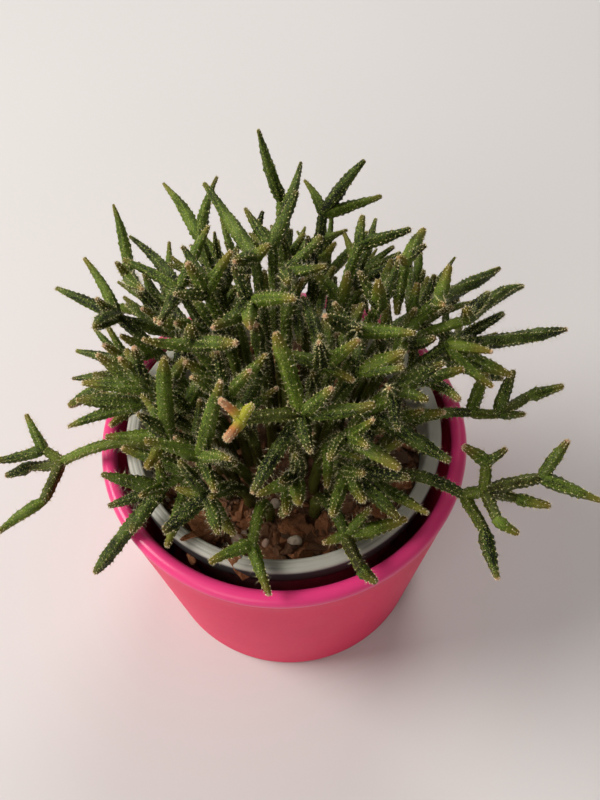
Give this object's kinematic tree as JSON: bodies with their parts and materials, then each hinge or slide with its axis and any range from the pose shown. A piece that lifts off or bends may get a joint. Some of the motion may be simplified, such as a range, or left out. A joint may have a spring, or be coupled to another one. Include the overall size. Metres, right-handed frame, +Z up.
{
  "type": "potted cactus",
  "caption": "Mound of short forking bristly cactus stems growing from bark mix in a plain nursery pot, which stands inside a glossy tapered outer pot.",
  "frame": {"origin": "centre of the outer pot's foot, on the plane it stands on", "axes": "+Z up along the pots' axis; -Y toward the side the picture was taken from, +X to the right in it"},
  "size_m": [0.2173, 0.1591, 0.1866],
  "materials": {
    "pot_gloss": "gloss magenta-pink glaze",
    "liner_plastic": "satin grey plastic",
    "bark_mix": "rough bark chips with cream pebbles",
    "stem_skin": "satin green skin with cream bristles"
  },
  "bodies": {
    "root": {"nursery_pot": "liner_plastic", "outer_pot": "pot_gloss", "potting_mix": "bark_mix", "stems_back_high_1": "stem_skin", "stems_back_high_2": "stem_skin", "stems_back_high_3": "stem_skin", "stems_back_left": "stem_skin", "stems_back_low_1": "stem_skin", "stems_back_low_2": "stem_skin", "stems_back_low_3": "stem_skin", "stems_back_low_4": "stem_skin", "stems_back_low_5": "stem_skin", "stems_back_low_6": "stem_skin", "stems_back_mid": "stem_skin", "stems_back_middle_1": "stem_skin", "stems_back_middle_2": "stem_skin", "stems_back_middle_3": "stem_skin", "stems_back_middle_4": "stem_skin", "stems_back_right": "stem_skin", "stems_crest": "stem_skin", "stems_fork_left": "stem_skin", "stems_front_deep_1": "stem_skin", "stems_front_deep_4": "stem_skin", "stems_front_left_droop": "stem_skin", "stems_front_right_droop": "stem_skin", "stems_front_right_tuft": "stem_skin", "stems_front_tuft": "stem_skin", "stems_hub_left": "stem_skin", "stems_hub_mid": "stem_skin", "stems_inner_left": "stem_skin", "stems_left_back": "stem_skin", "stems_left_bristly": "stem_skin", "stems_left_edge": "stem_skin", "stems_left_level": "stem_skin", "stems_left_shoulder": "stem_skin", "stems_left_upright": "stem_skin", "stems_low_left_long": "stem_skin", "stems_low_left_tuft": "stem_skin", "stems_mid_low_right": "stem_skin", "stems_mid_right": "stem_skin", "stems_mid_tuft": "stem_skin", "stems_right_arm": "stem_skin", "stems_right_back": "stem_skin", "stems_right_fork": "stem_skin", "stems_right_reach": "stem_skin", "stems_right_shoulder": "stem_skin", "stems_right_upright": "stem_skin", "stems_rosette": "stem_skin", "stems_rosette_right": "stem_skin", "stems_tall_left": "stem_skin", "stems_tall_mid": "stem_skin", "stems_trail_left": "stem_skin", "stems_trail_right": "stem_skin", "stems_trail_right_upper": "stem_skin", "stems_upper_left": "stem_skin", "stems_upper_left_tuft": "stem_skin"}
  },
  "joints": []
}
